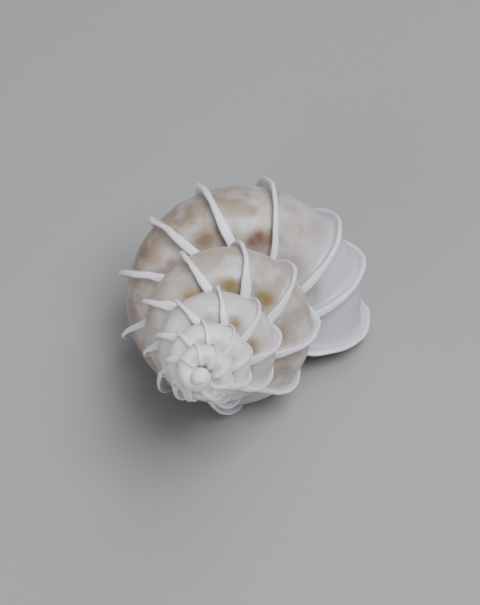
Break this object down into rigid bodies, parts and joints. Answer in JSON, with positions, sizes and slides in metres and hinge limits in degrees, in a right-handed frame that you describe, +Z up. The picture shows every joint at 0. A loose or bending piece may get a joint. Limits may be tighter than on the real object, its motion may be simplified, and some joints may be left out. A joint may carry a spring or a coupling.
{
  "type": "wentletrap shell",
  "caption": "Loosely coiled white seashell with rounded whorls that stand clear of each other, thin blade-like ribs and an open round mouth with a thick lip.",
  "frame": {"origin": "middle of the shell's outline on the surface that it lies on", "axes": "+Z up, the shell lying at rest on its lip and two ribs; its coiling axis points to -Y at the tip and rises 33 degrees, with the mouth facing down at the +Y end"},
  "size_m": [0.038, 0.0498, 0.034],
  "materials": {
    "shell": "satin, slightly translucent, creamy between bluish-white ribs"
  },
  "bodies": {
    "root": {"shell": "shell"}
  },
  "joints": []
}
